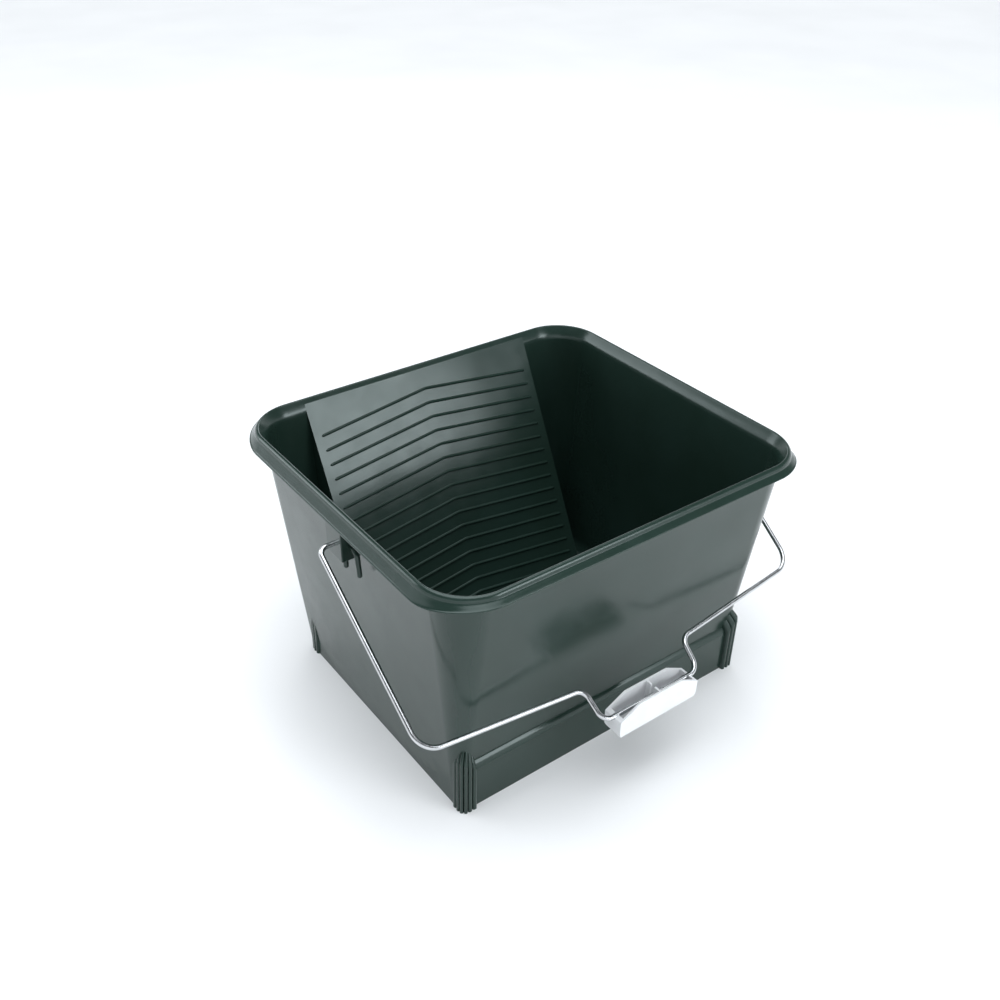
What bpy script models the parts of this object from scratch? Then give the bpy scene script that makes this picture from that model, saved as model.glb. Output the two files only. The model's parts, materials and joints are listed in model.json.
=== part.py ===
"""Paint roller bucket: a moulded tray with a ribbed ramp, a wire bail and a snap-on grip.

Metres, +Z up. The origin is on the ground under the middle of the tray's rim. The ramp rises to
the back (+Y), and the bail hangs forward (-Y) on the two ears under the rim.
"""

import math

import bmesh
import bpy
from mathutils import Vector

# Tray envelope
RIM_HALF_X = 0.1970
RIM_HALF_Y = 0.1752
RIM_CORNER_RADIUS = 0.0521
RIM_TOP = 0.2502

# Tray wall: the outer face at the ground and where it meets the lip
WALL_THICKNESS = 0.0023
FLOOR_THICKNESS = 0.0030
WALL_TOP_Z = 0.2413
BASE_HALF_X, BASE_HALF_Y, BASE_RADIUS = 0.1622, 0.1311, 0.0085
TOP_HALF_X, TOP_HALF_Y, TOP_RADIUS = 0.1835, 0.1617, 0.0358
SIDE_BOW = 0.0022  # how far the side walls' ends sit inside their middle, at the ground
SIDE_BOW_POWER = 4

# Base band: an upright plinth whose sloping shoulder runs into the wall
BAND_HALF_X, BAND_FRONT_Y, BAND_BACK_Y = 0.1625, -0.1410, 0.1180
BAND_RADIUS = 0.0060
BAND_SHOULDER = ((0.0, 0.0), (0.0430, 0.0), (0.0452, 0.0004), (0.0470, 0.0011), (0.0487, 0.0022),
                 (0.0505, 0.0038), (0.0545, 0.0074), (0.0600, 0.0118), (0.0660, 0.0166))
BAND_RADIUS_GROWTH = 0.9

# Lip and rim sections: inset from the rim's outer edge, depth below the rim's top
LIP_UNDERSIDE = ((0.0121, 0.0068), (0.0095, 0.0056), (0.0070, 0.0062), (0.0036, 0.0080), (0.0016, 0.0089))
LIP_OUTSIDE = ((0.0, 0.0089), (0.0001, 0.0080), (0.0010, 0.0074), (0.0030, 0.0059), (0.0048, 0.0046),
               (0.0051, 0.0036), (0.0058, 0.0018), (0.0070, 0.0005), (0.0083, 0.0))
RIM_INSIDE = ((0.0093, 0.0003), (0.0100, 0.0014), (0.0124, 0.0050), (0.0145, 0.0088), (0.0156, 0.0130))
# The lip hangs lower along the side walls, by this much below the depth where it starts to stretch
SIDE_LIP_DROP, LIP_STRETCH_TOP, LIP_STRETCH_BOTTOM = 0.0052, 0.0046, 0.0074
FLOOR_FILLET = 0.0120
FLOOR_FILLET_STEPS = 4
LEAST_RADIUS = 0.0020
INNER_WALL_HEIGHTS = (0.0600, 0.1200, 0.1800, 0.2300)

CORNER_STEPS = 7
SIDE_STEPS = 6

# Corner feet: round ribs along a path that turns each corner of the band
FOOT_FACE_X, FOOT_FACE_Y = 0.1646, 0.1449
FOOT_TURN_RADIUS = 0.0072
FOOT_RIBS = 6
FOOT_RIB_PITCH = 0.0047
FOOT_RIB_STEPS = 6
FOOT_RIB_DEPTH = 0.0023
FOOT_PATH_START_Y = 0.1297
FOOT_HEEL_X, FOOT_HEEL_Y = 0.1450, 0.1250
FOOT_TOP = ((0.0, 0.0), (0.0022, 0.0006), (0.0050, 0.0025), (0.0100, 0.0065), (0.0150, 0.0110))
FOOT_TOP_Z, FOOT_TOP_RISE, FOOT_PEAK_SHARE = 0.0430, 0.0145, 0.42

# Ramp: a flat panel from the rim down to the floor, open behind
RAMP_TOP_Y, RAMP_TOP_Z = 0.1621, 0.2443
RAMP_HEAD_Z = 0.2463
RAMP_ANGLE = math.radians(63.4)
RAMP_HALF_WIDTH = 0.1270
RAMP_THICKNESS = 0.0026
RAMP_FOOT_RADIUS = 0.0220
RAMP_FOOT_STEPS = 6
RECESS_TOP = 0.2270

# Ramp ridges: shallow chevrons with their points up
RIDGE_COUNT = 16
RIDGE_FIRST = 0.0177
RIDGE_PITCH = 0.01433
RIDGE_HALF_LENGTH = 0.1195
RIDGE_DROP = 0.0134
RIDGE_HALF_WIDTH = 0.0014
RIDGE_TOP_HALF_WIDTH = 0.0007
RIDGE_HEIGHT = 0.0013

# Bail ears under the lip, one on each side wall
PIVOT_Y, PIVOT_Z = -0.0089, 0.2182
EAR_HALF_WIDTH = 0.0125
EAR_BOTTOM, EAR_SIDE_TOP, EAR_TOP = 0.2058, 0.2385, 0.2440
EAR_OUTER_X, EAR_TOP_X = 0.1955, 0.1918
EAR_INNER_EDGE = ((0.1882, 0.2440), (0.1828, 0.2370), (0.1797, 0.2058))
EAR_HOLE_END_X = 0.1850
PEG_RADIUS, PEG_TIP = 0.0023, 0.0009
PEG_X, PEG_Y, PEG_END_Z = 0.1908, -0.0186, 0.2002
FINGER_X, FINGER_ROOT_Z = 0.1872, 0.2190
FINGER_KNEE_Y, FINGER_KNEE_RADIUS = -0.0314, 0.0060
FINGER_END_Y, FINGER_END_Z = -0.0338, 0.1978

# Bail: bent from one wire, in a plane through the pivots that leans forward at rest
WIRE_RADIUS = 0.00225
WIRE_RUNNING_GAP = 0.00009
BAIL_LEAN = math.radians(53.9)
BAIL_END_X = 0.1856
ARM_X, ARM_LENGTH = 0.2091, 0.1808
SHOULDER_RADIUS = 0.0070
ELBOW_RADIUS = 0.0200
CRANK_TOP_X, CRANK_TOP_S = 0.0567, 0.1947
CRANK_TOP_RADIUS = 0.0100
CRANK_FOOT_X, CRANK_FOOT_S = 0.0545, 0.2260
CRANK_FOOT_RADIUS = 0.0110
BEND_STEPS = 6

# Grip: a boat-shaped channel, closed side down, that the wire snaps into
GRIP_HALF_LENGTH = 0.0443
GRIP_HALF_WIDTH = 0.0099
GRIP_FLAP_TOP = 0.0113
GRIP_DEPTH = 0.0236
GRIP_WALL = 0.0019
GRIP_FLAP_HALF_LENGTH = 0.0240
GRIP_END_TOP = 0.0004
GRIP_KEEL_RADIUS = 0.0130
GRIP_KEEL_STEPS = 5
GRIP_BOTTOM_STEPS = 10
GRIP_RIB_THICKNESS = 0.0018
GRIP_SNAP_HALF_WIDTH = 0.0020

SMOOTH_ANGLE = math.radians(35)
ROUND_STEPS = 20


def clear_scene():
    for thing in list(bpy.data.objects):
        bpy.data.objects.remove(thing, do_unlink=True)


def make_material(name, colour, roughness, metallic=0.0):
    material = bpy.data.materials.new(name)
    material.use_nodes = True
    shader = material.node_tree.nodes["Principled BSDF"]
    shader.inputs["Base Color"].default_value = (*colour, 1.0)
    shader.inputs["Roughness"].default_value = roughness
    shader.inputs["Metallic"].default_value = metallic
    return material


def link_object(name, data):
    made = bpy.data.objects.new(name, data)
    bpy.context.scene.collection.objects.link(made)
    return made


def loft(name, *solids):
    """Closed solids, each through rings of equally many points with its two ends capped."""
    bm = bmesh.new()
    for rings in solids:
        loops = [[bm.verts.new(point) for point in ring] for ring in rings]
        for lower, upper in zip(loops, loops[1:]):
            for index, corner in enumerate(lower):
                after = (index + 1) % len(lower)
                bm.faces.new((corner, lower[after], upper[after], upper[index]))
        bm.faces.new(loops[0])
        bm.faces.new(loops[-1])
    bmesh.ops.recalc_face_normals(bm, faces=bm.faces)
    bmesh.ops.triangulate(bm, faces=bm.faces)
    mesh = bpy.data.meshes.new(name)
    bm.to_mesh(mesh)
    bm.free()
    return link_object(name, mesh)


def extrude_x(name, outline, x_low, x_high):
    """A prism along X from an outline of (y, z) points."""
    return loft(name, [[Vector((x, y, z)) for y, z in outline] for x in (x_low, x_high)])


def tube(name, path, radius, tip=0.0):
    """A round rod along a path, with ends that are flat or, given a tip length, chamfered."""
    stations = [(place, radius) for place in path]
    if tip > 0:
        lead = (path[0] - path[1]).normalized() * tip
        tail = (path[-1] - path[-2]).normalized() * tip
        stations = [(path[0] + lead, radius - tip)] + stations + [(path[-1] + tail, radius - tip)]
    across = (stations[1][0] - stations[0][0]).orthogonal()
    rings = []
    for index, (place, reach) in enumerate(stations):
        before = stations[max(index - 1, 0)][0]
        after = stations[min(index + 1, len(stations) - 1)][0]
        along = (after - before).normalized()
        across = (across - along * across.dot(along)).normalized()
        other = along.cross(across)
        turns = [2 * math.pi * step / ROUND_STEPS for step in range(ROUND_STEPS)]
        rings.append([place + reach * (math.cos(turn) * across + math.sin(turn) * other) for turn in turns])
    return loft(name, rings)


def bend(before, corner, after, radius):
    """The points of an arc that rounds one corner of a path."""
    to_before = (before - corner).normalized()
    to_after = (after - corner).normalized()
    half_angle = to_before.angle(to_after) / 2
    tangent = radius / math.tan(half_angle)
    centre = corner + (to_before + to_after).normalized() * radius / math.sin(half_angle)
    start = corner + to_before * tangent - centre
    end = corner + to_after * tangent - centre
    sweep = start.angle(end)
    points = []
    for step in range(BEND_STEPS + 1):
        share = step / BEND_STEPS
        spoke = (start * math.sin((1 - share) * sweep) + end * math.sin(share * sweep)) / math.sin(sweep)
        points.append(centre + spoke)
    return points


def combine(target, tool, operation):
    """Applies an exact Boolean and removes the tool."""
    modifier = target.modifiers.new(operation, "BOOLEAN")
    modifier.operation = operation
    modifier.solver = "EXACT"
    modifier.object = tool
    evaluated = target.evaluated_get(bpy.context.evaluated_depsgraph_get())
    mesh = bpy.data.meshes.new_from_object(evaluated)
    target.modifiers.clear()
    target.data = mesh
    bpy.data.objects.remove(tool, do_unlink=True)


def finish_piece(piece, material):
    piece.data.materials.clear()
    piece.data.materials.append(material)
    piece.data.shade_smooth()
    piece.data.set_sharp_from_angle(angle=SMOOTH_ANGLE)


def blend(low, high, share):
    return low + (high - low) * share


def rounded_ring(half_x, half_y, radius, z, centre_y=0.0, bow=0.0):
    """A rounded rectangle at height z, whose X sides may bow out towards their middle."""
    flat_x, flat_y = half_x - radius, half_y - radius
    corners = ((flat_x, -flat_y, -90), (flat_x, flat_y, 0), (-flat_x, flat_y, 90), (-flat_x, -flat_y, 180))
    ring = []
    for index, (x, y, start) in enumerate(corners):
        for step in range(CORNER_STEPS + 1):
            turn = math.radians(start + 90 * step / CORNER_STEPS)
            ring.append(Vector((x + radius * math.cos(turn), y + radius * math.sin(turn), z)))
        side = Vector((0, 2 * flat_y, 0)) if index % 2 == 0 else Vector((2 * flat_x, 0, 0))
        side *= 1 if index in (0, 3) else -1
        last = ring[-1]
        ring += [last + side * step / SIDE_STEPS for step in range(1, SIDE_STEPS)]
    for point in ring:
        point.x -= math.copysign(bow * min(1.0, abs(point.y / flat_y) ** SIDE_BOW_POWER), point.x)
        point.y += centre_y
    return ring


def rim_ring(inset, depth):
    return rounded_ring(RIM_HALF_X - inset, RIM_HALF_Y - inset, RIM_CORNER_RADIUS - inset, RIM_TOP - depth)


def lip_ring(inset, depth):
    """A rim ring whose lower part hangs deeper along the side walls and not at all at the front and back."""
    stretch = min(1.0, max(0.0, (depth - LIP_STRETCH_TOP) / (LIP_STRETCH_BOTTOM - LIP_STRETCH_TOP)))
    ring = rim_ring(inset, depth)
    for point in ring:
        round_corner = max(0.0, (abs(point.y) - RIM_HALF_Y + RIM_CORNER_RADIUS) / RIM_CORNER_RADIUS)
        point.z -= SIDE_LIP_DROP * stretch * (1 - round_corner * round_corner * (3 - 2 * round_corner))
    return ring


def wall_ring(z, offset=0.0):
    """The drafted wall at height z, moved in by offset."""
    share = z / WALL_TOP_Z
    half_x = blend(BASE_HALF_X, TOP_HALF_X, share) - offset
    half_y = blend(BASE_HALF_Y, TOP_HALF_Y, share) - offset
    radius = max(blend(BASE_RADIUS, TOP_RADIUS, share) - offset, LEAST_RADIUS)
    return rounded_ring(half_x, half_y, radius, z, bow=SIDE_BOW * (1 - share))


def make_outer_body():
    """The tray's outside as a full solid: wall, lip and rim."""
    rings = [wall_ring(0.0), wall_ring(WALL_TOP_Z / 2)]
    rings += [lip_ring(*section) for section in LIP_UNDERSIDE + LIP_OUTSIDE]
    return loft("tray", rings)


def make_band():
    """The base band as a full solid."""
    centre_y = (BAND_FRONT_Y + BAND_BACK_Y) / 2
    half_y = (BAND_BACK_Y - BAND_FRONT_Y) / 2
    rings = []
    for z, inset in BAND_SHOULDER:
        radius = BAND_RADIUS + BAND_RADIUS_GROWTH * inset
        rings.append(rounded_ring(BAND_HALF_X - inset, half_y - inset, radius, z, centre_y))
    return loft("band", rings)


def make_cavity():
    """The space inside the wall, from the floor to above the rim."""
    rings = []
    for step in range(FLOOR_FILLET_STEPS + 1):
        turn = math.radians(90) * step / FLOOR_FILLET_STEPS
        inset = WALL_THICKNESS + FLOOR_FILLET * (1 - math.sin(turn))
        rings.append(wall_ring(FLOOR_THICKNESS + FLOOR_FILLET * (1 - math.cos(turn)), inset))
    rings += [wall_ring(z, WALL_THICKNESS) for z in INNER_WALL_HEIGHTS]
    rings += [rim_ring(*section) for section in reversed(RIM_INSIDE)]
    above_inset, above_depth = RIM_INSIDE[0]
    rings.append(rim_ring(above_inset, above_depth - 0.010))
    return loft("cavity", rings)


def foot_path(distance):
    """A point and the outward direction on the line of the rib tops, along one corner."""
    straight = FOOT_FACE_Y - FOOT_TURN_RADIUS - FOOT_PATH_START_Y
    turned = (distance - straight) / FOOT_TURN_RADIUS
    centre = Vector((FOOT_FACE_X - FOOT_TURN_RADIUS, FOOT_FACE_Y - FOOT_TURN_RADIUS))
    if turned < 0:
        return Vector((FOOT_FACE_X, FOOT_PATH_START_Y + distance)), Vector((1, 0))
    if turned < math.pi / 2:
        outward = Vector((math.cos(turned), math.sin(turned)))
        return centre + outward * FOOT_TURN_RADIUS, outward
    past = (turned - math.pi / 2) * FOOT_TURN_RADIUS
    return Vector((centre.x - past, FOOT_FACE_Y)), Vector((0, 1))


def foot_outline():
    """One ribbed foot seen from above, in the corner where x and y are positive."""
    outline = [Vector((FOOT_HEEL_X, FOOT_HEEL_Y))]
    for step in range(FOOT_RIBS * FOOT_RIB_STEPS + 1):
        across = (step % FOOT_RIB_STEPS) * 2 / FOOT_RIB_STEPS - 1
        point, outward = foot_path(FOOT_RIB_PITCH * step / FOOT_RIB_STEPS)
        outline.append(point - outward * FOOT_RIB_DEPTH * (1 - math.sqrt(1 - across * across)))
    return outline


def foot_rings(side_x, side_y):
    """A ribbed corner foot whose top slopes into the wall and is highest at the corner."""
    shift_y = (1 + side_y) * (BAND_FRONT_Y + BAND_BACK_Y) / 2
    outline = foot_outline()
    heel = outline[0]
    rings = [[Vector((side_x * point.x, shift_y + side_y * point.y, 0.0)) for point in outline]]
    for above, inset in FOOT_TOP:
        ring = []
        for index, corner in enumerate(outline):
            from_peak = (index / len(outline) - FOOT_PEAK_SHARE) / (1 - FOOT_PEAK_SHARE)
            z = FOOT_TOP_Z + FOOT_TOP_RISE * (1 - from_peak ** 2) + above
            spoke = corner - heel
            if spoke.length > 0:
                spoke *= 1 - inset / spoke.length
            point = heel + spoke
            ring.append(Vector((side_x * point.x, shift_y + side_y * point.y, z)))
        rings.append(ring)
    return rings


def ramp_y(z):
    """The ramp face's y at height z."""
    return RAMP_TOP_Y - (RAMP_TOP_Z - z) / math.tan(RAMP_ANGLE)


def make_ramp_block():
    """The wedge under the ramp's face, with a rounded foot on the floor."""
    tangent = RAMP_FOOT_RADIUS * math.tan(RAMP_ANGLE / 2)
    foot_y = ramp_y(FLOOR_THICKNESS)
    centre_y = foot_y - tangent
    centre_z = FLOOR_THICKNESS + RAMP_FOOT_RADIUS
    outline = [(RIM_HALF_Y, 0.001), (RIM_HALF_Y, RAMP_HEAD_Z), (ramp_y(RAMP_HEAD_Z), RAMP_HEAD_Z)]
    for step in range(RAMP_FOOT_STEPS + 1):
        turn = RAMP_ANGLE * (1 - step / RAMP_FOOT_STEPS)
        outline.append((centre_y + RAMP_FOOT_RADIUS * math.sin(turn), centre_z - RAMP_FOOT_RADIUS * math.cos(turn)))
    outline.append((centre_y, 0.001))
    return extrude_x("ramp_block", outline, -RAMP_HALF_WIDTH, RAMP_HALF_WIDTH)


def ridge_rings(index):
    """One chevron ridge lying on the ramp's face."""
    down = Vector((0, -math.cos(RAMP_ANGLE), -math.sin(RAMP_ANGLE)))
    out = Vector((0, -math.sin(RAMP_ANGLE), math.cos(RAMP_ANGLE)))
    top = Vector((0, RAMP_TOP_Y, RAMP_TOP_Z))
    peak = RIDGE_FIRST + RIDGE_PITCH * index
    sunk = -0.4 * RIDGE_HEIGHT
    section = ((-RIDGE_HALF_WIDTH, sunk), (-RIDGE_TOP_HALF_WIDTH, RIDGE_HEIGHT),
               (RIDGE_TOP_HALF_WIDTH, RIDGE_HEIGHT), (RIDGE_HALF_WIDTH, sunk))
    rings = []
    for x, fall in ((-RIDGE_HALF_LENGTH, RIDGE_DROP), (0.0, 0.0), (RIDGE_HALF_LENGTH, RIDGE_DROP)):
        ring = [top + Vector((x, 0, 0)) + down * (peak + fall + along) + out * up for along, up in section]
        rings.append(ring)
    return rings


def make_recess():
    """The space behind the ramp, open to the back and underneath."""
    step_back = RAMP_THICKNESS / math.sin(RAMP_ANGLE)
    below, behind = -0.010, 0.300
    outline = [(ramp_y(below) + step_back, below), (ramp_y(RECESS_TOP) + step_back, RECESS_TOP),
               (behind, RECESS_TOP), (behind, below)]
    half = RAMP_HALF_WIDTH - RAMP_THICKNESS
    return extrude_x("recess", outline, -half, half)


def make_ear(side):
    """The block under the lip that holds one end of the bail."""
    outline = EAR_INNER_EDGE + ((EAR_OUTER_X, EAR_BOTTOM), (EAR_OUTER_X, EAR_SIDE_TOP), (EAR_TOP_X, EAR_TOP))
    ends = (PIVOT_Y - EAR_HALF_WIDTH, PIVOT_Y + EAR_HALF_WIDTH)
    return loft("ear", [[Vector((side * x, y, z)) for x, z in outline] for y in ends])


def make_peg(side):
    """The short peg under the ear."""
    places = [Vector((side * PEG_X, PEG_Y, z)) for z in (EAR_BOTTOM + PEG_RADIUS, PEG_END_Z)]
    return tube("peg", places, PEG_RADIUS, PEG_TIP)


def make_finger(side):
    """The finger that comes out of the ear's front and hangs beside it."""
    root = Vector((side * FINGER_X, PIVOT_Y - EAR_HALF_WIDTH + PEG_RADIUS, FINGER_ROOT_Z))
    knee = Vector((side * FINGER_X, FINGER_KNEE_Y, FINGER_ROOT_Z))
    end = Vector((side * FINGER_X, FINGER_END_Y, FINGER_END_Z))
    return tube("finger", [root] + bend(root, knee, end, FINGER_KNEE_RADIUS) + [end], PEG_RADIUS, PEG_TIP)


def make_ear_hole(side):
    start = Vector((side * EAR_HOLE_END_X, PIVOT_Y, PIVOT_Z))
    end = Vector((side * RIM_HALF_X, PIVOT_Y, PIVOT_Z))
    return tube("ear_hole", (start, end), WIRE_RADIUS + WIRE_RUNNING_GAP)


def build_tray(material):
    tray = make_outer_body()
    feet = [foot_rings(side_x, side_y) for side_x in (-1, 1) for side_y in (-1, 1)]
    combine(tray, make_band(), "UNION")
    combine(tray, loft("feet", *feet), "UNION")
    cavity = make_cavity()
    combine(cavity, make_ramp_block(), "DIFFERENCE")
    combine(tray, cavity, "DIFFERENCE")
    combine(tray, make_recess(), "DIFFERENCE")
    combine(tray, loft("ridges", *[ridge_rings(index) for index in range(RIDGE_COUNT)]), "UNION")
    for side in (-1, 1):
        combine(tray, make_ear(side), "UNION")
        combine(tray, make_peg(side), "UNION")
        combine(tray, make_finger(side), "UNION")
        combine(tray, make_ear_hole(side), "DIFFERENCE")
    finish_piece(tray, material)


def in_bail_plane(x, along):
    """A point of the bail: x across, along down the plane from the pivot axis."""
    return Vector((x, PIVOT_Y - along * math.sin(BAIL_LEAN), PIVOT_Z - along * math.cos(BAIL_LEAN)))


def bail_path():
    """The bail's centreline, from one ear to the other."""
    half = ((ARM_X, 0.0, SHOULDER_RADIUS), (ARM_X, ARM_LENGTH, ELBOW_RADIUS),
            (CRANK_TOP_X, CRANK_TOP_S, CRANK_TOP_RADIUS), (CRANK_FOOT_X, CRANK_FOOT_S, CRANK_FOOT_RADIUS))
    corners = [(-x, along, radius) for x, along, radius in half]
    corners += list(reversed(half))
    places = [in_bail_plane(-BAIL_END_X, 0.0)]
    places += [in_bail_plane(x, along) for x, along, _ in corners]
    places.append(in_bail_plane(BAIL_END_X, 0.0))
    path = [places[0]]
    for index, (_, _, radius) in enumerate(corners, start=1):
        path += bend(places[index - 1], places[index], places[index + 1], radius)
    path.append(places[-1])
    return path


def build_bail(material):
    pivot = in_bail_plane(0.0, 0.0)
    bail = tube("bail_wire", [place - pivot for place in bail_path()], WIRE_RADIUS)
    finish_piece(bail, material)
    bail.location = pivot


def channel_outline(half_width, top, depth):
    """A U section, open side up, as (y, z) points about the wire."""
    centre_z = half_width - depth
    outline = [(-half_width, top)]
    for step in range(GRIP_BOTTOM_STEPS + 1):
        turn = math.pi * (1 + step / GRIP_BOTTOM_STEPS)
        outline.append((half_width * math.cos(turn), centre_z + half_width * math.sin(turn)))
    outline.append((half_width, top))
    return outline


def make_grip_profile():
    """The grip's side view: raised flaps in the middle and rounded keel ends."""
    outline = [(GRIP_HALF_LENGTH, GRIP_END_TOP), (GRIP_FLAP_HALF_LENGTH, GRIP_FLAP_TOP)]
    outline += [(-x, z) for x, z in reversed(outline)]
    centre_x = GRIP_HALF_LENGTH - GRIP_KEEL_RADIUS
    centre_z = GRIP_KEEL_RADIUS - GRIP_DEPTH
    for side in (-1, 1):
        turns = [math.radians(90) * step / GRIP_KEEL_STEPS for step in range(GRIP_KEEL_STEPS + 1)]
        if side > 0:
            turns.reverse()
        for turn in turns:
            x = side * (centre_x + GRIP_KEEL_RADIUS * math.cos(turn))
            outline.append((x, centre_z - GRIP_KEEL_RADIUS * math.sin(turn)))
    reach = 2 * GRIP_HALF_WIDTH
    return loft("grip_profile", [[Vector((x, y, z)) for x, z in outline] for y in (-reach, reach)])


def build_grip(material):
    above = 2 * GRIP_FLAP_TOP
    outer = channel_outline(GRIP_HALF_WIDTH, GRIP_FLAP_TOP, GRIP_DEPTH)
    grip = extrude_x("grip", outer, -GRIP_HALF_LENGTH, GRIP_HALF_LENGTH)
    combine(grip, make_grip_profile(), "INTERSECT")
    inner = channel_outline(GRIP_HALF_WIDTH - GRIP_WALL, above, GRIP_DEPTH - GRIP_WALL)
    rib_edge = GRIP_RIB_THICKNESS / 2
    end_wall = GRIP_HALF_LENGTH - 2 * GRIP_WALL
    for low, high in ((-end_wall, -rib_edge), (rib_edge, end_wall)):
        combine(grip, extrude_x("hollow", inner, low, high), "DIFFERENCE")
    reach = Vector((2 * GRIP_HALF_LENGTH, 0, 0))
    combine(grip, tube("wire_way", (-reach, reach), WIRE_RADIUS + WIRE_RUNNING_GAP), "DIFFERENCE")
    slot = ((-GRIP_SNAP_HALF_WIDTH, 0), (GRIP_SNAP_HALF_WIDTH, 0), (GRIP_SNAP_HALF_WIDTH, above),
            (-GRIP_SNAP_HALF_WIDTH, above))
    combine(grip, extrude_x("snap_slot", slot, -reach.x, reach.x), "DIFFERENCE")
    finish_piece(grip, material)
    grip.location = in_bail_plane(0.0, CRANK_FOOT_S)


def main():
    clear_scene()
    green = make_material("green_plastic", (0.020, 0.047, 0.035), 0.36)
    steel = make_material("zinc_plated_wire", (0.72, 0.73, 0.74), 0.22, metallic=1.0)
    white = make_material("white_plastic", (0.86, 0.87, 0.88), 0.42)
    build_tray(green)
    build_bail(steel)
    build_grip(white)


main()
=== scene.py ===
"""The looks of the paint roller bucket: fine meshes, materials, light and camera around its CAD frame."""

import json
import math

import bmesh
import bpy
from mathutils import Matrix, Vector


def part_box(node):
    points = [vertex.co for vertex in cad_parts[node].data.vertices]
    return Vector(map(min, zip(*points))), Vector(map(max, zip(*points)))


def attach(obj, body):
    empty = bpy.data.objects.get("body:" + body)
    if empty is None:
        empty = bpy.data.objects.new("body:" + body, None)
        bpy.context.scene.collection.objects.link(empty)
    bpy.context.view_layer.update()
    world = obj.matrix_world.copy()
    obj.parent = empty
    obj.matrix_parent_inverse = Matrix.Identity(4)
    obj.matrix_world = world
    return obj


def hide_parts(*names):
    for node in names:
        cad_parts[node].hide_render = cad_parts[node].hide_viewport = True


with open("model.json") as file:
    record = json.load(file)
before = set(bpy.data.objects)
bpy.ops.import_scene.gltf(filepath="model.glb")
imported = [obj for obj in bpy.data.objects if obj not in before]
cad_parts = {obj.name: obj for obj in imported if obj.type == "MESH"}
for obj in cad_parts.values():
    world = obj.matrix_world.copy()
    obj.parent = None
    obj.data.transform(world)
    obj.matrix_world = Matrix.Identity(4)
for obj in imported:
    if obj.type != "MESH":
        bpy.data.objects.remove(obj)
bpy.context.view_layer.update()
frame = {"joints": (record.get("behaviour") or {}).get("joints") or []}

TRAY_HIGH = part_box("tray")[1]
WIRE_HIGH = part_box("bail_wire")[1]
GRIP_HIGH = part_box("grip")[1]
JOINTS = {joint["name"]: joint for joint in frame["joints"]}
PIVOT = Vector(JOINTS["bail_swing"]["pos_m"])
GRIP_AXIS = Vector(JOINTS["grip_spin"]["pos_m"])

# Tray envelope, from the frame
RIM_HALF_X, RIM_HALF_Y, RIM_TOP = TRAY_HIGH.x, TRAY_HIGH.y, TRAY_HIGH.z
RIM_CORNER_RADIUS = 0.0521

# Tray wall: the outer face at the ground and where it meets the lip
WALL_THICKNESS, FLOOR_THICKNESS = 0.0023, 0.0030
WALL_TOP_Z = RIM_TOP - 0.0089
BASE_HALF_X, BASE_HALF_Y, BASE_RADIUS = 0.1622, 0.1311, 0.0085
TOP_HALF_X, TOP_HALF_Y, TOP_RADIUS = 0.1835, 0.1617, 0.0358
SIDE_BOW, SIDE_BOW_POWER = 0.0022, 4
WALL_RINGS = 14

# Base band: an upright plinth whose sloping shoulder runs into the wall
BAND_HALF_X, BAND_FRONT_Y, BAND_BACK_Y = 0.1625, -0.1410, 0.1180
BAND_RADIUS, BAND_RADIUS_GROWTH = 0.0060, 0.9
BAND_SHOULDER = ((0.0430, 0.0), (0.0452, 0.0004), (0.0470, 0.0011), (0.0487, 0.0022), (0.0505, 0.0038),
                 (0.0545, 0.0074), (0.0600, 0.0118), (0.0660, 0.0166))

# Lip and rim sections: inset from the rim's outer edge, depth below the rim's top
LIP_UNDERSIDE = ((0.0121, 0.0068), (0.0095, 0.0056), (0.0070, 0.0062), (0.0036, 0.0080), (0.0016, 0.0089))
LIP_OUTSIDE = ((0.0, 0.0089), (0.0001, 0.0080), (0.0010, 0.0074), (0.0030, 0.0059), (0.0048, 0.0046),
               (0.0051, 0.0036), (0.0058, 0.0018), (0.0070, 0.0005), (0.0083, 0.0), (0.0093, 0.0003))
RIM_INSIDE = ((0.0093, 0.0003), (0.0100, 0.0014), (0.0124, 0.0050), (0.0145, 0.0088), (0.0156, 0.0130))
# Along the side walls the lip hangs deeper by the drop: it stretches between these two depths
SIDE_LIP_DROP, LIP_STRETCH_TOP, LIP_STRETCH_BOTTOM = 0.0052, 0.0046, 0.0074
SECTION_STEPS = 3
FLOOR_FILLET, FLOOR_FILLET_STEPS = 0.0120, 8
CAVITY_OVERSHOOT = 0.0100
LEAST_RADIUS = 0.0020
CORNER_STEPS, SIDE_STEPS = 16, 10

# Corner feet: round ribs along a path that turns each corner of the band
FOOT_FACE_X, FOOT_FACE_Y = 0.1646, 0.1449
FOOT_TURN_RADIUS = 0.0072
FOOT_RIBS, FOOT_RIB_PITCH, FOOT_RIB_DEPTH, FOOT_RIB_STEPS = 6, 0.0047, 0.0023, 12
FOOT_PATH_START_Y = 0.1297
FOOT_HEEL_X, FOOT_HEEL_Y = 0.1450, 0.1250
FOOT_TOP = ((0.0, 0.0), (0.0022, 0.0006), (0.0050, 0.0025), (0.0100, 0.0065), (0.0150, 0.0110))
FOOT_TOP_Z, FOOT_TOP_RISE, FOOT_PEAK_SHARE = 0.0430, 0.0145, 0.42

# Ramp: a flat panel from the rim down to the floor, open behind
RAMP_TOP_Y, RAMP_TOP_Z, RAMP_HEAD_Z = 0.1621, 0.2443, 0.2463
RAMP_ANGLE = math.radians(63.4)
RAMP_HALF_WIDTH, RAMP_THICKNESS = 0.1270, 0.0026
RAMP_FOOT_RADIUS, RAMP_FOOT_STEPS = 0.0220, 14
RAMP_BLOCK_LOW_Z = 0.0010
RECESS_TOP, RECESS_LOW, RECESS_BACK_Y = 0.2270, -0.0100, 0.3000

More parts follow.
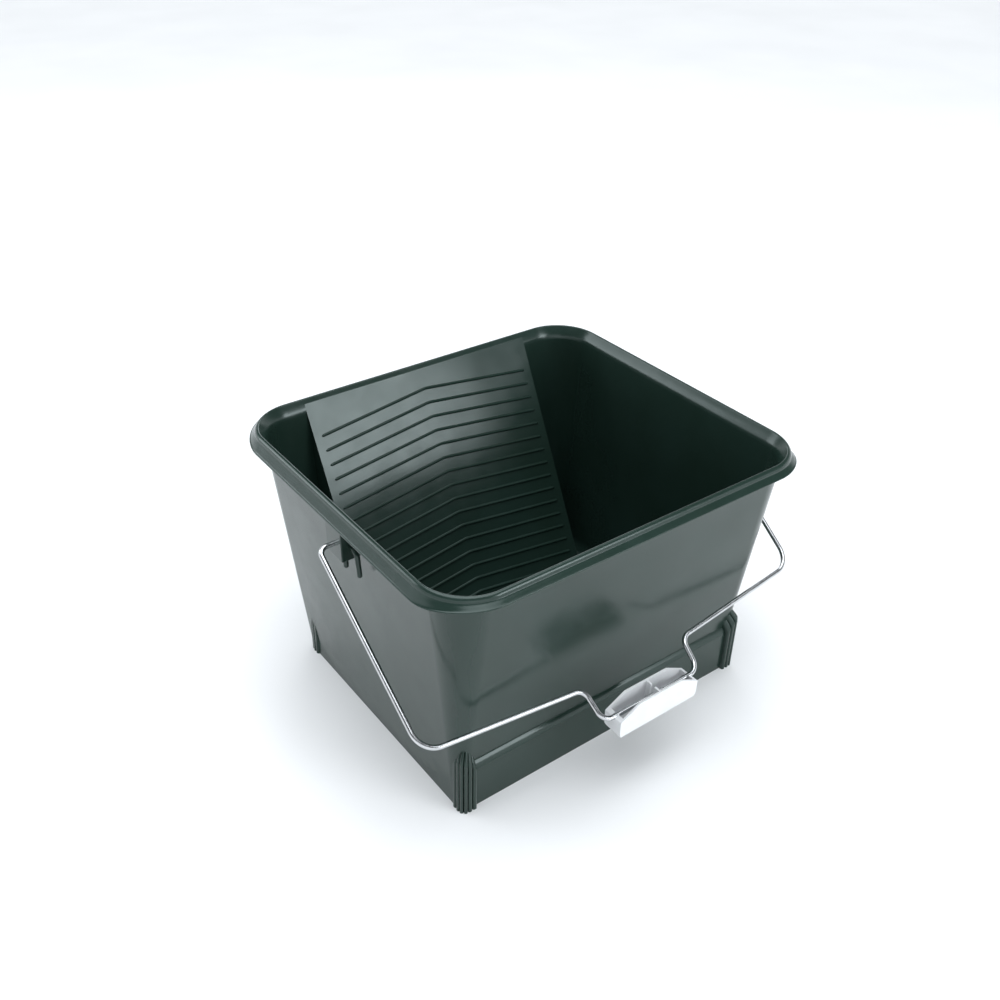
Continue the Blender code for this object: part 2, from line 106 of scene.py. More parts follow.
# Ramp ridges: shallow rounded chevrons with their points up
RIDGE_COUNT, RIDGE_FIRST, RIDGE_PITCH = 16, 0.0177, 0.01433
RIDGE_HALF_LENGTH, RIDGE_DROP = 0.1195, 0.0134
RIDGE_HALF_WIDTH, RIDGE_HEIGHT = 0.0015, 0.0013
RIDGE_SECTION_STEPS = 8
RIDGE_TIP, RIDGE_TIP_STEPS, RIDGE_TIP_TURN = 0.0030, 4, math.radians(84)
RIDGE_PEAK_REACH, RIDGE_PEAK_STEPS = 0.0030, 5

# Bail ears under the lip, one on each side wall
EAR_HALF_WIDTH = 0.0125
EAR_BOTTOM, EAR_SIDE_TOP, EAR_TOP = 0.2058, 0.2385, 0.2440
EAR_OUTER_X, EAR_TOP_X = 0.1955, 0.1918
EAR_INNER_EDGE = ((0.1882, 0.2440), (0.1828, 0.2370), (0.1797, 0.2058))
EAR_ROUNDING, EAR_ROUNDING_STEPS, FLAT_ANGLE = 0.0009, 3, math.radians(1)
EAR_HOLE_END_X = 0.1850
PEG_RADIUS = 0.0023
PEG_X, PEG_Y, PEG_END_Z = 0.1908, -0.0186, 0.2002
FINGER_X, FINGER_ROOT_Z = 0.1872, 0.2190
FINGER_KNEE_Y, FINGER_KNEE_RADIUS = -0.0314, 0.0060
FINGER_END_Y, FINGER_END_Z = -0.0338, 0.1978

# Bail: bent from one wire, in a plane through the pivots that leans forward at rest
WIRE_RADIUS, WIRE_RUNNING_GAP = 0.00225, 0.00009
BAIL_LEAN = math.atan2(PIVOT.y - GRIP_AXIS.y, PIVOT.z - GRIP_AXIS.z)
BAIL_END_X = 0.1856
ARM_X, ARM_LENGTH = WIRE_HIGH.x - WIRE_RADIUS, 0.1808
SHOULDER_RADIUS, ELBOW_RADIUS = 0.0070, 0.0200
CRANK_TOP_X, CRANK_TOP_S, CRANK_TOP_RADIUS = 0.0567, 0.1947, 0.0100
CRANK_FOOT_X, CRANK_FOOT_RADIUS = 0.0545, 0.0110
CRANK_FOOT_S = math.hypot(PIVOT.y - GRIP_AXIS.y, PIVOT.z - GRIP_AXIS.z)
BEND_STEPS, ROUND_STEPS, TIP_STEPS = 14, 32, 5

# Grip: a boat-shaped channel, closed side down, that snaps over the wire
GRIP_HALF_LENGTH = GRIP_HIGH.x
GRIP_HALF_WIDTH, GRIP_FLAP_TOP, GRIP_DEPTH, GRIP_WALL = 0.0099, 0.0113, 0.0236, 0.0019
GRIP_FLAP_HALF_LENGTH, GRIP_END_TOP = 0.0240, 0.0004
GRIP_KEEL_RADIUS, GRIP_KEEL_STEPS, GRIP_BOTTOM_STEPS = 0.0130, 14, 24
GRIP_RIB_THICKNESS, GRIP_SNAP_HALF_WIDTH = 0.0018, 0.0020

# Camera: where it stands, how it is turned and its lens
CAMERA_PLACE = Vector((-0.5216, -0.6592, 0.7418))
CAMERA_AZIMUTH, CAMERA_ELEVATION = math.radians(-37.188), math.radians(33.769)
CAMERA_ROLL = math.radians(1.162)
CAMERA_LENS = 39.62

# Studio: each soft light's name, place, size and power, then what they all point at
SOFT_LIGHTS = (
    ("overhead_light", (-0.30, 0.20, 2.20), 2.2, 14.0),
    ("front_light", (0.75, -1.75, 0.86), 0.8, 14.0),
    ("front_fill", (-0.90, -2.20, 0.60), 1.6, 4.0),
    ("back_left_light", (-1.50, 1.70, 0.90), 1.0, 12.0),
    ("back_right_light", (1.00, 1.60, 1.20), 0.7, 5.0),
)
LIGHT_TARGET = Vector((0.0, 0.0, 0.12))
LIGHT_TINT = (0.96, 1.00, 1.04)
WIDE_LIGHT_STRENGTH, WIDE_LIGHT_ANGLE = 2.8, math.radians(70)
SKY_LEVELS = ((0.50, 1.35), (0.58, 1.15), (0.66, 0.18), (1.00, 0.08))
FLOOR_HALF_SIZE = 8.0

SMOOTH_ANGLE = math.radians(35)


def link_object(name, data):
    made = bpy.data.objects.new(name, data)
    bpy.context.scene.collection.objects.link(made)
    return made


def loft(name, *solids):
    """Closed solids, each through rings of equally many points with its two ends capped."""
    bm = bmesh.new()
    for rings in solids:
        loops = [[bm.verts.new(point) for point in ring] for ring in rings]
        for lower, upper in zip(loops, loops[1:]):
            for index, corner in enumerate(lower):
                after = (index + 1) % len(lower)
                bm.faces.new((corner, lower[after], upper[after], upper[index]))
        bm.faces.new(loops[0])
        bm.faces.new(loops[-1])
    bmesh.ops.recalc_face_normals(bm, faces=bm.faces)
    bmesh.ops.triangulate(bm, faces=bm.faces)
    mesh = bpy.data.meshes.new(name)
    bm.to_mesh(mesh)
    bm.free()
    return link_object(name, mesh)


def extrude_x(name, outline, x_low, x_high):
    """A prism along X from an outline of (y, z) points."""
    return loft(name, [[Vector((x, y, z)) for y, z in outline] for x in (x_low, x_high)])


def round_end(place, outward, radius):
    """The stations that close a rod with a dome, from its tip in."""
    stations = []
    for step in range(1, TIP_STEPS + 1):
        turn = math.radians(90) * step / (TIP_STEPS + 1)
        stations.append((place + outward * radius * math.cos(turn), radius * math.sin(turn)))
    return stations


def tube(name, path, radius, domed=False):
    """A round rod along a path, with flat or domed ends."""
    stations = [(place, radius) for place in path]
    if domed:
        lead = (path[0] - path[1]).normalized()
        tail = (path[-1] - path[-2]).normalized()
        stations = round_end(path[0], lead, radius) + stations
        stations += reversed(round_end(path[-1], tail, radius))
    across = (stations[1][0] - stations[0][0]).orthogonal()
    rings = []
    for index, (place, reach) in enumerate(stations):
        before = stations[max(index - 1, 0)][0]
        after = stations[min(index + 1, len(stations) - 1)][0]
        along = (after - before).normalized()
        across = (across - along * across.dot(along)).normalized()
        other = along.cross(across)
        turns = [2 * math.pi * step / ROUND_STEPS for step in range(ROUND_STEPS)]
        rings.append([place + reach * (math.cos(turn) * across + math.sin(turn) * other) for turn in turns])
    return loft(name, rings)


def bend(before, corner, after, radius):
    """The points of an arc that rounds one corner of a path."""
    to_before = (before - corner).normalized()
    to_after = (after - corner).normalized()
    half_angle = to_before.angle(to_after) / 2
    tangent = radius / math.tan(half_angle)
    centre = corner + (to_before + to_after).normalized() * radius / math.sin(half_angle)
    start = corner + to_before * tangent - centre
    end = corner + to_after * tangent - centre
    sweep = start.angle(end)
    points = []
    for step in range(BEND_STEPS + 1):
        share = step / BEND_STEPS
        spoke = (start * math.sin((1 - share) * sweep) + end * math.sin(share * sweep)) / math.sin(sweep)
        points.append(centre + spoke)
    return points


def combine(target, tool, operation):
    """Applies an exact Boolean and removes the tool."""
    modifier = target.modifiers.new(operation, "BOOLEAN")
    modifier.operation = operation
    modifier.solver = "EXACT"
    modifier.object = tool
    evaluated = target.evaluated_get(bpy.context.evaluated_depsgraph_get())
    mesh = bpy.data.meshes.new_from_object(evaluated)
    target.modifiers.clear()
    target.data = mesh
    bpy.data.objects.remove(tool, do_unlink=True)


def finish_piece(piece, material, body, node):
    """Smooth shading, material, and what the piece stands for."""
    piece.data.materials.clear()
    piece.data.materials.append(material)
    piece.data.shade_smooth()
    piece.data.set_sharp_from_angle(angle=SMOOTH_ANGLE)
    normals = piece.modifiers.new("even_normals", "WEIGHTED_NORMAL")
    normals.keep_sharp = True
    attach(piece, body)
    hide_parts(node)


def blend(low, high, share):
    return low + (high - low) * share


def smooth_line(points, steps):
    """More points on a smooth curve through the given (a, b) points."""
    line = []
    last = len(points) - 1
    for index in range(last):
        near = [Vector(points[min(max(index + shift, 0), last)]) for shift in (-1, 0, 1, 2)]
        for step in range(steps):
            t = step / steps
            value = 2 * near[1] + (near[2] - near[0]) * t
            value += (2 * near[0] - 5 * near[1] + 4 * near[2] - near[3]) * t * t
            value += (3 * near[1] - near[0] - 3 * near[2] + near[3]) * t * t * t
            line.append(tuple(value / 2))
    line.append(tuple(points[-1]))
    return line


def rounded_ring(half_x, half_y, radius, z, centre_y=0.0, bow=0.0):
    """A rounded rectangle at height z, whose X sides may bow out towards their middle."""
    flat_x, flat_y = half_x - radius, half_y - radius
    corners = ((flat_x, -flat_y, -90), (flat_x, flat_y, 0), (-flat_x, flat_y, 90), (-flat_x, -flat_y, 180))
    ring = []
    for index, (x, y, start) in enumerate(corners):
        for step in range(CORNER_STEPS + 1):
            turn = math.radians(start + 90 * step / CORNER_STEPS)
            ring.append(Vector((x + radius * math.cos(turn), y + radius * math.sin(turn), z)))
        side = Vector((0, 2 * flat_y, 0)) if index % 2 == 0 else Vector((2 * flat_x, 0, 0))
        side *= 1 if index in (0, 3) else -1
        last = ring[-1]
        ring += [last + side * step / SIDE_STEPS for step in range(1, SIDE_STEPS)]
    for point in ring:
        point.x -= math.copysign(bow * min(1.0, abs(point.y / flat_y) ** SIDE_BOW_POWER), point.x)
        point.y += centre_y
    return ring


def rim_ring(inset, depth):
    return rounded_ring(RIM_HALF_X - inset, RIM_HALF_Y - inset, RIM_CORNER_RADIUS - inset, RIM_TOP - depth)


def lip_ring(inset, depth):
    """A rim ring whose lower part hangs deeper along the side walls and not at all at the front and back."""
    stretch = min(1.0, max(0.0, (depth - LIP_STRETCH_TOP) / (LIP_STRETCH_BOTTOM - LIP_STRETCH_TOP)))
    ring = rim_ring(inset, depth)
    for point in ring:
        round_corner = max(0.0, (abs(point.y) - RIM_HALF_Y + RIM_CORNER_RADIUS) / RIM_CORNER_RADIUS)
        point.z -= SIDE_LIP_DROP * stretch * (1 - round_corner * round_corner * (3 - 2 * round_corner))
    return ring


def wall_ring(z, offset=0.0):
    """The drafted wall at height z, moved in by offset."""
    share = z / WALL_TOP_Z
    half_x = blend(BASE_HALF_X, TOP_HALF_X, share) - offset
    half_y = blend(BASE_HALF_Y, TOP_HALF_Y, share) - offset
    radius = max(blend(BASE_RADIUS, TOP_RADIUS, share) - offset, LEAST_RADIUS)
    return rounded_ring(half_x, half_y, radius, z, bow=SIDE_BOW * (1 - share))


def make_outer_body():
    """The tray's outside as a full solid: wall, lip and rim."""
    rings = [wall_ring(WALL_TOP_Z * step / WALL_RINGS) for step in range(WALL_RINGS)]
    rings += [lip_ring(*section) for section in smooth_line(LIP_UNDERSIDE, SECTION_STEPS)]
    rings += [lip_ring(*section) for section in smooth_line(LIP_OUTSIDE, SECTION_STEPS)]
    return loft("tray_shell", rings)


def make_band():
    """The base band as a full solid."""
    centre_y = (BAND_FRONT_Y + BAND_BACK_Y) / 2
    half_y = (BAND_BACK_Y - BAND_FRONT_Y) / 2
    rings = []
    for z, inset in [(0.0, 0.0)] + smooth_line(BAND_SHOULDER, SECTION_STEPS):
        radius = BAND_RADIUS + BAND_RADIUS_GROWTH * inset
        rings.append(rounded_ring(BAND_HALF_X - inset, half_y - inset, radius, z, centre_y))
    return loft("band", rings)


def make_cavity():
    """The space inside the wall, from the floor to above the rim."""
    rings = []
    for step in range(FLOOR_FILLET_STEPS + 1):
        turn = math.radians(90) * step / FLOOR_FILLET_STEPS
        inset = WALL_THICKNESS + FLOOR_FILLET * (1 - math.sin(turn))
        rings.append(wall_ring(FLOOR_THICKNESS + FLOOR_FILLET * (1 - math.cos(turn)), inset))
    low, high = FLOOR_THICKNESS + FLOOR_FILLET, RIM_TOP - RIM_INSIDE[-1][1]
    rings += [wall_ring(blend(low, high, step / WALL_RINGS), WALL_THICKNESS) for step in range(1, WALL_RINGS)]
    rings += [rim_ring(*section) for section in reversed(smooth_line(RIM_INSIDE, SECTION_STEPS))]
    above_inset, above_depth = RIM_INSIDE[0]
    rings.append(rim_ring(above_inset, above_depth - CAVITY_OVERSHOOT))
    return loft("cavity", rings)


def foot_path(distance):
    """A point and the outward direction on the line of the rib tops, along one corner."""
    straight = FOOT_FACE_Y - FOOT_TURN_RADIUS - FOOT_PATH_START_Y
    turned = (distance - straight) / FOOT_TURN_RADIUS
    centre = Vector((FOOT_FACE_X - FOOT_TURN_RADIUS, FOOT_FACE_Y - FOOT_TURN_RADIUS))
    if turned < 0:
        return Vector((FOOT_FACE_X, FOOT_PATH_START_Y + distance)), Vector((1, 0))
    if turned < math.pi / 2:
        outward = Vector((math.cos(turned), math.sin(turned)))
        return centre + outward * FOOT_TURN_RADIUS, outward
    past = (turned - math.pi / 2) * FOOT_TURN_RADIUS
    return Vector((centre.x - past, FOOT_FACE_Y)), Vector((0, 1))


def foot_outline():
    """One ribbed foot seen from above, in the corner where x and y are positive."""
    outline = [Vector((FOOT_HEEL_X, FOOT_HEEL_Y))]
    for step in range(FOOT_RIBS * FOOT_RIB_STEPS + 1):
        across = (step % FOOT_RIB_STEPS) * 2 / FOOT_RIB_STEPS - 1
        point, outward = foot_path(FOOT_RIB_PITCH * step / FOOT_RIB_STEPS)
        outline.append(point - outward * FOOT_RIB_DEPTH * (1 - math.sqrt(1 - across * across)))
    return outline


def foot_rings(side_x, side_y):
    """A ribbed corner foot whose top slopes into the wall and is highest at the corner."""
    shift_y = (1 + side_y) * (BAND_FRONT_Y + BAND_BACK_Y) / 2
    outline = foot_outline()
    heel = outline[0]
    rings = [[Vector((side_x * point.x, shift_y + side_y * point.y, 0.0)) for point in outline]]
    for above, inset in FOOT_TOP:
        ring = []
        for index, corner in enumerate(outline):
            from_peak = (index / len(outline) - FOOT_PEAK_SHARE) / (1 - FOOT_PEAK_SHARE)
            z = FOOT_TOP_Z + FOOT_TOP_RISE * (1 - from_peak ** 2) + above
            spoke = corner - heel
            if spoke.length > 0:
                spoke *= 1 - inset / spoke.length
            point = heel + spoke
            ring.append(Vector((side_x * point.x, shift_y + side_y * point.y, z)))
        rings.append(ring)
    return rings


def ramp_y(z):
    """The ramp face's y at height z."""
    return RAMP_TOP_Y - (RAMP_TOP_Z - z) / math.tan(RAMP_ANGLE)


def make_ramp_block():
    """The wedge under the ramp's face, with a rounded foot on the floor."""
    tangent = RAMP_FOOT_RADIUS * math.tan(RAMP_ANGLE / 2)
    centre_y = ramp_y(FLOOR_THICKNESS) - tangent
    centre_z = FLOOR_THICKNESS + RAMP_FOOT_RADIUS
    outline = [(RIM_HALF_Y, RAMP_BLOCK_LOW_Z), (RIM_HALF_Y, RAMP_HEAD_Z), (ramp_y(RAMP_HEAD_Z), RAMP_HEAD_Z)]
    for step in range(RAMP_FOOT_STEPS + 1):
        turn = RAMP_ANGLE * (1 - step / RAMP_FOOT_STEPS)
        y = centre_y + RAMP_FOOT_RADIUS * math.sin(turn)
        outline.append((y, centre_z - RAMP_FOOT_RADIUS * math.cos(turn)))
    outline.append((centre_y, RAMP_BLOCK_LOW_Z))
    return extrude_x("ramp_block", outline, -RAMP_HALF_WIDTH, RAMP_HALF_WIDTH)


def ridge_stations():
    """Places along a chevron ridge as (x, fall below its peak, share of full size)."""
    side = [(RIDGE_PEAK_REACH * step / RIDGE_PEAK_STEPS, 1.0) for step in range(RIDGE_PEAK_STEPS + 1)]
    side.append((RIDGE_HALF_LENGTH - RIDGE_TIP, 1.0))
    for step in range(1, RIDGE_TIP_STEPS + 1):
        turn = RIDGE_TIP_TURN * step / RIDGE_TIP_STEPS
        side.append((RIDGE_HALF_LENGTH - RIDGE_TIP * (1 - math.sin(turn)), math.cos(turn)))
    flat = RIDGE_PEAK_REACH / 2
    stations = []
    for x, size in side:
        fall = (math.hypot(x, flat) - flat) * RIDGE_DROP / RIDGE_HALF_LENGTH
        stations.append((x, fall, size))
    return [(-x, fall, size) for x, fall, size in reversed(stations[1:])] + stations


def ridge_rings(index):
    """One chevron ridge lying on the ramp's face."""
    down = Vector((0, -math.cos(RAMP_ANGLE), -math.sin(RAMP_ANGLE)))
    out = Vector((0, -math.sin(RAMP_ANGLE), math.cos(RAMP_ANGLE)))
    top = Vector((0, RAMP_TOP_Y, RAMP_TOP_Z))
    peak = RIDGE_FIRST + RIDGE_PITCH * index
    rings = []
    for x, fall, size in ridge_stations():
        ring = []
        for step in range(RIDGE_SECTION_STEPS):
            turn = 2 * math.pi * step / RIDGE_SECTION_STEPS
            along = RIDGE_HALF_WIDTH * size * math.cos(turn)
            up = RIDGE_HEIGHT * size * math.sin(turn)
            ring.append(top + Vector((x, 0, 0)) + down * (peak + fall + along) + out * up)
        rings.append(ring)
    return rings


def make_recess():
    """The space behind the ramp, open to the back and underneath."""
    step_back = RAMP_THICKNESS / math.sin(RAMP_ANGLE)
    outline = [(ramp_y(RECESS_LOW) + step_back, RECESS_LOW), (ramp_y(RECESS_TOP) + step_back, RECESS_TOP),
               (RECESS_BACK_Y, RECESS_TOP), (RECESS_BACK_Y, RECESS_LOW)]
    half = RAMP_HALF_WIDTH - RAMP_THICKNESS
    return extrude_x("recess", outline, -half, half)


def round_edges(piece, width):
    """Rounds every edge of a simple solid."""
    bm = bmesh.new()
    bm.from_mesh(piece.data)
    bmesh.ops.dissolve_limit(bm, angle_limit=FLAT_ANGLE, verts=bm.verts, edges=bm.edges)
    bmesh.ops.bevel(bm, geom=bm.edges, offset=width, segments=EAR_ROUNDING_STEPS, profile=0.5, affect="EDGES")
    bmesh.ops.triangulate(bm, faces=bm.faces)
    bm.to_mesh(piece.data)
    bm.free()
    return piece


def make_ear(side):
    """The block under the lip that holds one end of the bail."""
    outline = EAR_INNER_EDGE + ((EAR_OUTER_X, EAR_BOTTOM), (EAR_OUTER_X, EAR_SIDE_TOP), (EAR_TOP_X, EAR_TOP))
    ends = (PIVOT.y - EAR_HALF_WIDTH, PIVOT.y + EAR_HALF_WIDTH)
    block = loft("ear", [[Vector((side * x, y, z)) for x, z in outline] for y in ends])
    return round_edges(block, EAR_ROUNDING)


def make_peg(side):
    """The short peg under the ear."""
    places = [Vector((side * PEG_X, PEG_Y, z)) for z in (EAR_BOTTOM + PEG_RADIUS, PEG_END_Z)]
    return tube("peg", places, PEG_RADIUS, domed=True)


def make_finger(side):
    """The finger that comes out of the ear's front and hangs beside it."""
    root = Vector((side * FINGER_X, PIVOT.y - EAR_HALF_WIDTH + PEG_RADIUS, FINGER_ROOT_Z))
    knee = Vector((side * FINGER_X, FINGER_KNEE_Y, FINGER_ROOT_Z))
    end = Vector((side * FINGER_X, FINGER_END_Y, FINGER_END_Z))
    return tube("finger", [root] + bend(root, knee, end, FINGER_KNEE_RADIUS) + [end], PEG_RADIUS, domed=True)


def make_ear_hole(side):
    start = Vector((side * EAR_HOLE_END_X, PIVOT.y, PIVOT.z))
    end = Vector((side * RIM_HALF_X, PIVOT.y, PIVOT.z))
    return tube("ear_hole", (start, end), WIRE_RADIUS + WIRE_RUNNING_GAP)


def build_tray(material):
    tray = make_outer_body()
    feet = [foot_rings(side_x, side_y) for side_x in (-1, 1) for side_y in (-1, 1)]
    combine(tray, make_band(), "UNION")
    combine(tray, loft("feet", *feet), "UNION")
    cavity = make_cavity()
    combine(cavity, make_ramp_block(), "DIFFERENCE")
    combine(tray, cavity, "DIFFERENCE")
    combine(tray, make_recess(), "DIFFERENCE")
    combine(tray, loft("ridges", *[ridge_rings(index) for index in range(RIDGE_COUNT)]), "UNION")
    for side in (-1, 1):
        combine(tray, make_ear(side), "UNION")
        combine(tray, make_peg(side), "UNION")
        combine(tray, make_finger(side), "UNION")
        combine(tray, make_ear_hole(side), "DIFFERENCE")
    finish_piece(tray, material, "tray", "tray")


def in_bail_plane(x, along):
    """A point of the bail: x across, along down the plane from the pivot axis."""
    return Vector((x, PIVOT.y - along * math.sin(BAIL_LEAN), PIVOT.z - along * math.cos(BAIL_LEAN)))


def bail_path():
    """The bail's centreline, from one ear to the other."""
    half = ((ARM_X, 0.0, SHOULDER_RADIUS), (ARM_X, ARM_LENGTH, ELBOW_RADIUS),
            (CRANK_TOP_X, CRANK_TOP_S, CRANK_TOP_RADIUS), (CRANK_FOOT_X, CRANK_FOOT_S, CRANK_FOOT_RADIUS))
    corners = [(-x, along, radius) for x, along, radius in half]
    corners += list(reversed(half))
    places = [in_bail_plane(-BAIL_END_X, 0.0)]
    places += [in_bail_plane(x, along) for x, along, _ in corners]
    places.append(in_bail_plane(BAIL_END_X, 0.0))
    path = [places[0]]
    for index, (_, _, radius) in enumerate(corners, start=1):
        path += bend(places[index - 1], places[index], places[index + 1], radius)
    path.append(places[-1])
    return path


def build_bail(material):
    finish_piece(tube("bail_rod", bail_path(), WIRE_RADIUS), material, "bail", "bail_wire")


def channel_outline(half_width, top, depth):
    """A U section, open side up, as (y, z) points about the wire."""
    centre_z = half_width - depth
    outline = [(-half_width, top)]
    for step in range(GRIP_BOTTOM_STEPS + 1):
        turn = math.pi * (1 + step / GRIP_BOTTOM_STEPS)
        outline.append((half_width * math.cos(turn), centre_z + half_width * math.sin(turn)))
    outline.append((half_width, top))
    return outline


def make_grip_profile():
    """The grip's side view: raised flaps in the middle and rounded keel ends."""
    outline = [(GRIP_HALF_LENGTH, GRIP_END_TOP), (GRIP_FLAP_HALF_LENGTH, GRIP_FLAP_TOP)]
    outline += [(-x, z) for x, z in reversed(outline)]
    centre_x = GRIP_HALF_LENGTH - GRIP_KEEL_RADIUS
    centre_z = GRIP_KEEL_RADIUS - GRIP_DEPTH
    for side in (-1, 1):
        turns = [math.radians(90) * step / GRIP_KEEL_STEPS for step in range(GRIP_KEEL_STEPS + 1)]
        if side > 0:
            turns.reverse()
        for turn in turns:
            x = side * (centre_x + GRIP_KEEL_RADIUS * math.cos(turn))
            outline.append((x, centre_z - GRIP_KEEL_RADIUS * math.sin(turn)))
    reach = 2 * GRIP_HALF_WIDTH
    return loft("grip_profile", [[Vector((x, y, z)) for x, z in outline] for y in (-reach, reach)])


def build_grip(material):
    above = 2 * GRIP_FLAP_TOP
    outer = channel_outline(GRIP_HALF_WIDTH, GRIP_FLAP_TOP, GRIP_DEPTH)
    grip = extrude_x("grip_channel", outer, -GRIP_HALF_LENGTH, GRIP_HALF_LENGTH)
    combine(grip, make_grip_profile(), "INTERSECT")
    inner = channel_outline(GRIP_HALF_WIDTH - GRIP_WALL, above, GRIP_DEPTH - GRIP_WALL)
    rib_edge = GRIP_RIB_THICKNESS / 2
    end_wall = GRIP_HALF_LENGTH - 2 * GRIP_WALL
    for low, high in ((-end_wall, -rib_edge), (rib_edge, end_wall)):
        combine(grip, extrude_x("hollow", inner, low, high), "DIFFERENCE")
    reach = Vector((2 * GRIP_HALF_LENGTH, 0, 0))
    combine(grip, tube("wire_way", (-reach, reach), WIRE_RADIUS + WIRE_RUNNING_GAP), "DIFFERENCE")
    slot = ((-GRIP_SNAP_HALF_WIDTH, 0), (GRIP_SNAP_HALF_WIDTH, 0), (GRIP_SNAP_HALF_WIDTH, above),
            (-GRIP_SNAP_HALF_WIDTH, above))
    combine(grip, extrude_x("snap_slot", slot, -reach.x, reach.x), "DIFFERENCE")
    grip.data.transform(Matrix.Translation(GRIP_AXIS))
    finish_piece(grip, material, "grip", "grip")


def new_material(name):
    """A node material, its Principled shader and its object coordinates."""
    material = bpy.data.materials.new(name)
    material.use_nodes = True
    nodes = material.node_tree.nodes
    coordinates = nodes.new("ShaderNodeTexCoord").outputs["Object"]
    return material, nodes["Principled BSDF"], coordinates


def add_noise(material, coordinates, scale, detail=2.0):
    """Noise whose grains are about one scale-th of a metre across."""
    tree = material.node_tree
    noise = tree.nodes.new("ShaderNodeTexNoise")
    noise.inputs["Scale"].default_value = scale
    noise.inputs["Detail"].default_value = detail
    tree.links.new(coordinates, noise.inputs["Vector"])
    return noise.outputs["Fac"]


def vary_colour(material, shader, fac, dark, light):
    tree = material.node_tree
    ramp = tree.nodes.new("ShaderNodeValToRGB")
    ramp.color_ramp.elements[0].position = 0.3
    ramp.color_ramp.elements[1].position = 0.7
    ramp.color_ramp.elements[0].color = (*dark, 1.0)
    ramp.color_ramp.elements[1].color = (*light, 1.0)
    tree.links.new(fac, ramp.inputs["Fac"])
    tree.links.new(ramp.outputs["Color"], shader.inputs["Base Color"])


def vary_roughness(material, shader, fac, low, high):
    tree = material.node_tree
    spread = tree.nodes.new("ShaderNodeMapRange")
    spread.inputs["From Min"].default_value = 0.3
    spread.inputs["From Max"].default_value = 0.7
    spread.inputs["To Min"].default_value = low
    spread.inputs["To Max"].default_value = high
    tree.links.new(fac, spread.inputs["Value"])
    tree.links.new(spread.outputs["Result"], shader.inputs["Roughness"])


def add_bumps(material, shader, *layers):
    """Bump layers, each (height, depth in metres), one on another."""
    tree = material.node_tree
    below = None
    for height, depth in layers:
        bump = tree.nodes.new("ShaderNodeBump")
        bump.inputs["Distance"].default_value = depth
        tree.links.new(height, bump.inputs["Height"])
        if below is not None:
            tree.links.new(below, bump.inputs["Normal"])
        below = bump.outputs["Normal"]
    tree.links.new(below, shader.inputs["Normal"])


def green_plastic():
    """Dark green moulded plastic: semi-gloss, with the slow waves of a cooled panel and a fine grain."""
    material, shader, place = new_material("green_plastic")
    shader.inputs["Specular IOR Level"].default_value = 0.46
    shader.inputs["Specular Tint"].default_value = (0.90, 1.0, 0.98, 1.0)
    mottle = add_noise(material, place, 14, 5)
    vary_colour(material, shader, mottle, (0.011, 0.024, 0.018), (0.014, 0.030, 0.024))
    vary_roughness(material, shader, add_noise(material, place, 60, 6), 0.18, 0.25)
    waves = add_noise(material, place, 11, 1)
    grain = add_noise(material, place, 1500, 3)
    add_bumps(material, shader, (waves, 0.0012), (grain, 0.00001))
    return material


def zinc_wire():
    """Bright zinc-plated steel with faint drawing marks."""
    material, shader, place = new_material("zinc_plated_wire")
    shader.inputs["Metallic"].default_value = 1.0
    vary_colour(material, shader, add_noise(material, place, 90, 5), (0.50, 0.51, 0.52), (0.62, 0.63, 0.64))
    vary_roughness(material, shader, add_noise(material, place, 400, 4), 0.14, 0.26)
    add_bumps(material, shader, (add_noise(material, place, 900, 3), 0.00003))
    return material


def white_plastic():
    """Slightly translucent white plastic."""
    material, shader, place = new_material("white_plastic")
    shader.inputs["Subsurface Weight"].default_value = 0.25
    shader.inputs["Subsurface Radius"].default_value = (0.004, 0.004, 0.004)
    vary_colour(material, shader, add_noise(material, place, 40, 4), (0.74, 0.75, 0.76), (0.80, 0.81, 0.82))
    vary_roughness(material, shader, add_noise(material, place, 150, 5), 0.34, 0.46)
    add_bumps(material, shader, (add_noise(material, place, 1200, 3), 0.00003))
    return material


def studio_floor():
    """A plain white floor."""
    material, shader, place = new_material("studio_floor")
    vary_colour(material, shader, add_noise(material, place, 3, 2), (0.84, 0.84, 0.84), (0.88, 0.88, 0.88))
    shader.inputs["Roughness"].default_value = 0.85
    size = FLOOR_HALF_SIZE
    bm = bmesh.new()
    corners = ((-size, -size), (size, -size), (size, size), (-size, size))
    bm.faces.new([bm.verts.new((x, y, 0)) for x, y in corners])
    mesh = bpy.data.meshes.new("floor")
    bm.to_mesh(mesh)
    bm.free()
    floor = link_object("floor", mesh)
    floor.data.materials.append(material)


def add_soft_light(name, place, size, power):
    light = bpy.data.lights.new(name, "AREA")
    light.shape = "SQUARE"
    light.size = size
    light.energy = power
    light.color = LIGHT_TINT
    made = link_object(name, light)
    made.location = place
    made.rotation_euler = (LIGHT_TARGET - made.location).to_track_quat("-Z", "Y").to_euler()


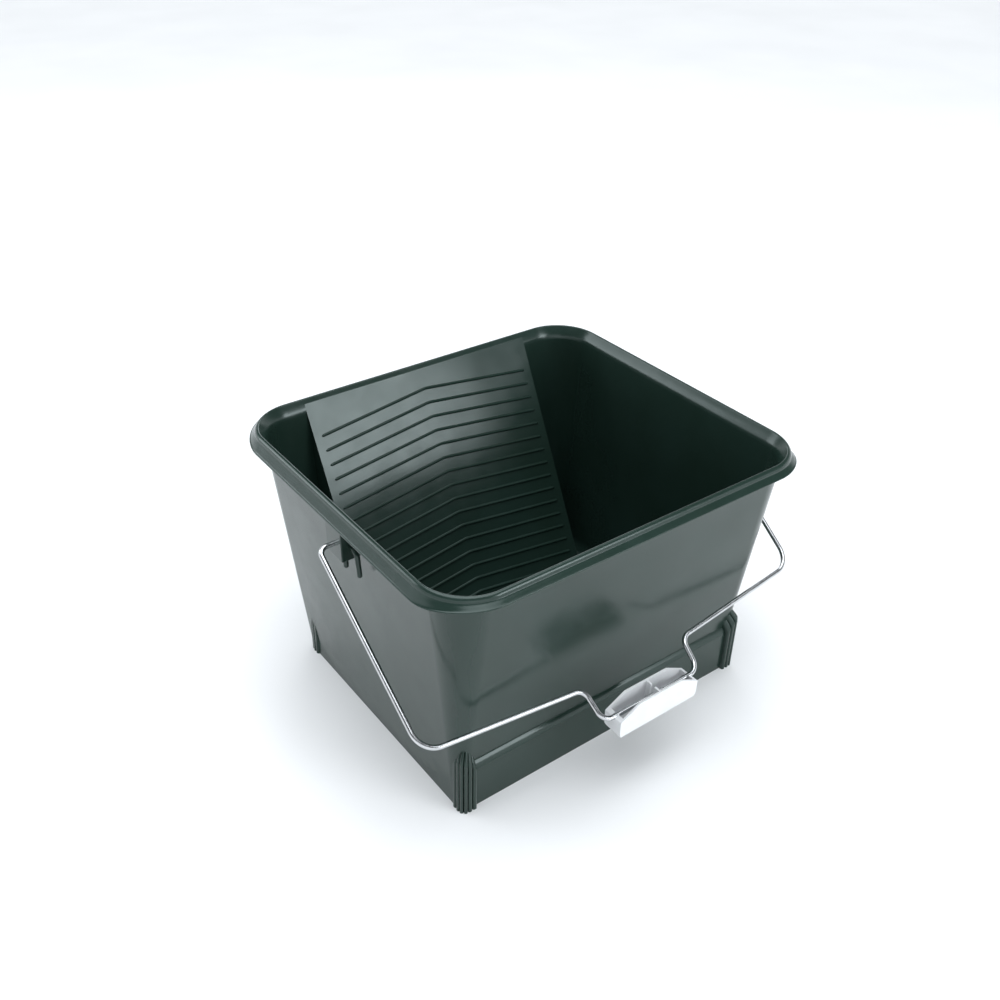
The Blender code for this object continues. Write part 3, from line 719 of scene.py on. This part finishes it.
def add_wide_light():
    """A very soft light from straight above that keeps the whole floor even."""
    light = bpy.data.lights.new("wide_light", "SUN")
    light.energy = WIDE_LIGHT_STRENGTH
    light.angle = WIDE_LIGHT_ANGLE
    light.color = LIGHT_TINT
    link_object("wide_light", light)


def add_sky():
    """A white surround, bright near the horizon and dim overhead."""
    world = bpy.data.worlds.new("studio")
    world.use_nodes = True
    tree = world.node_tree
    direction = tree.nodes.new("ShaderNodeTexCoord").outputs["Generated"]
    split = tree.nodes.new("ShaderNodeSeparateXYZ")
    height = tree.nodes.new("ShaderNodeMapRange")
    height.inputs["From Min"].default_value = -1.0
    level = tree.nodes.new("ShaderNodeValToRGB")
    stops = level.color_ramp.elements
    while len(stops) < len(SKY_LEVELS):
        stops.new(0.5)
    for stop, (place, brightness) in zip(stops, SKY_LEVELS):
        stop.position = place
        stop.color = (*[brightness * tint for tint in LIGHT_TINT], 1.0)
    tree.links.new(direction, split.inputs["Vector"])
    tree.links.new(split.outputs["Z"], height.inputs["Value"])
    tree.links.new(height.outputs["Result"], level.inputs["Fac"])
    tree.links.new(level.outputs["Color"], tree.nodes["Background"].inputs["Color"])
    bpy.context.scene.world = world


def add_camera():
    back = Vector((math.sin(CAMERA_AZIMUTH) * math.cos(CAMERA_ELEVATION),
                   -math.cos(CAMERA_AZIMUTH) * math.cos(CAMERA_ELEVATION), math.sin(CAMERA_ELEVATION)))
    level = Vector((math.cos(CAMERA_AZIMUTH), math.sin(CAMERA_AZIMUTH), 0))
    upward = back.cross(level)
    right = math.cos(CAMERA_ROLL) * level + math.sin(CAMERA_ROLL) * upward
    up = back.cross(right)
    data = bpy.data.cameras.new("camera")
    data.lens = CAMERA_LENS
    data.clip_start = 0.01
    camera = link_object("camera", data)
    turn = Matrix((right, up, back)).transposed().to_4x4()
    camera.matrix_world = Matrix.Translation(CAMERA_PLACE) @ turn
    bpy.context.scene.camera = camera


def build_studio():
    studio_floor()
    add_sky()
    add_wide_light()
    for light in SOFT_LIGHTS:
        add_soft_light(*light)
    add_camera()
    bpy.context.scene.view_settings.view_transform = "Standard"


build_tray(green_plastic())
build_bail(zinc_wire())
build_grip(white_plastic())
build_studio()
